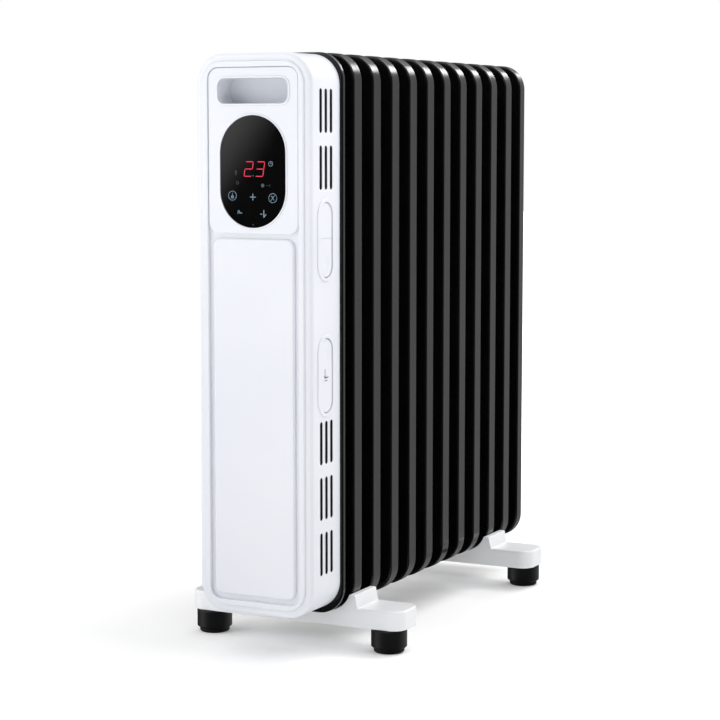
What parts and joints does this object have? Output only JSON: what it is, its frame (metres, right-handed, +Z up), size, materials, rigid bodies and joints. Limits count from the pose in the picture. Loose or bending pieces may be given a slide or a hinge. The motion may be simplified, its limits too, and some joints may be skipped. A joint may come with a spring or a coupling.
{
  "type": "oil filled radiator heater",
  "caption": "Free-standing oil filled column heater with black fins, white control housing with touch display, fold-out cord hooks and four feet.",
  "frame": {"origin": "on the floor under the centre of the whole heater", "axes": "+Z up, -Y towards the control display, +X towards the side with the cord hooks"},
  "size_m": [0.256, 0.5554, 0.6257],
  "materials": {
    "white_shell": "satin moulded white",
    "white_stand": "satin moulded white",
    "black_enamel": "semi-gloss black powder coat",
    "black_glass": "black-backed glass",
    "board": "solder mask",
    "black_part_plastic": "fine satin texture",
    "grey_part_plastic": "moulded",
    "rubber_pad": "matte",
    "zinc_steel": "zinc plated",
    "element_steel": "dull sheath",
    "ceramic": "unglazed",
    "plug_brass": "machined"
  },
  "bodies": {
    "heater": {"board_screws": "zinc_steel", "buzzer": "black_part_plastic", "control_fascia": "white_shell", "cord_clamp": "black_part_plastic", "cord_gland": "black_part_plastic", "cover_screws": "zinc_steel", "digit_module": "black_part_plastic", "display_board": "board", "display_glass": "black_glass", "element_flange": "plug_brass", "element_gasket": "rubber_pad", "element_terminals": "zinc_steel", "filter_capacitors": "grey_part_plastic", "fin_01": "black_enamel", "fin_02": "black_enamel", "fin_03": "black_enamel", "fin_04": "black_enamel", "fin_05": "black_enamel", "fin_06": "black_enamel", "fin_07": "black_enamel", "fin_08": "black_enamel", "fin_09": "black_enamel", "fin_10": "black_enamel", "fin_11": "black_enamel", "foot_cups": "black_part_plastic", "foot_pads": "rubber_pad", "foot_studs": "zinc_steel", "front_frame": "white_shell", "front_stand_arm": "white_stand", "gland_nut": "black_part_plastic", "header_end_caps": "black_enamel", "heat_shield": "black_enamel", "heater_relays": "black_part_plastic", "heating_element_high": "element_steel", "heating_element_low": "element_steel", "hook_pins": "zinc_steel", "housing_shell": "white_shell", "lower_hook_pocket": "white_shell", "lower_panel": "white_shell", "mount_screws": "zinc_steel", "mount_spacers": "black_enamel", "oil_fill_plug": "plug_brass", "power_board": "board", "rear_cover": "white_shell", "rear_stand_arm": "white_stand", "room_sensor": "black_part_plastic", "stand_nuts": "zinc_steel", "stand_u_bolts": "zinc_steel", "supply_transformer": "grey_part_plastic", "terminal_block": "grey_part_plastic", "terminal_insulators": "ceramic", "thermal_cutout": "zinc_steel", "tilt_light_gate": "black_part_plastic", "tilt_pivot_pin": "zinc_steel", "tilt_switch_case": "grey_part_plastic", "touch_springs": "zinc_steel", "upper_hook_pocket": "white_shell"},
    "upper_hook": {"upper_cord_hook": "white_shell"},
    "lower_hook": {"lower_cord_hook": "white_shell"},
    "pendulum": {"tilt_pendulum": "zinc_steel"}
  },
  "joints": [
    {"name": "upper_hook_hinge", "type": "hinge", "parent": "heater", "child": "upper_hook", "pos_m": [0.0605, -0.24475, 0.4354], "axis": [0, 1, 0], "range_deg": [0, 45]},
    {"name": "lower_hook_hinge", "type": "hinge", "parent": "heater", "child": "lower_hook", "pos_m": [0.0605, -0.24475, 0.2972], "axis": [0, -1, 0], "range_deg": [0, 45]},
    {"name": "tilt_pendulum_hinge", "type": "hinge", "parent": "heater", "child": "pendulum", "pos_m": [0.015, -0.23375, 0.213], "axis": [0, 1, 0], "range_deg": [-37, 37]}
  ]
}
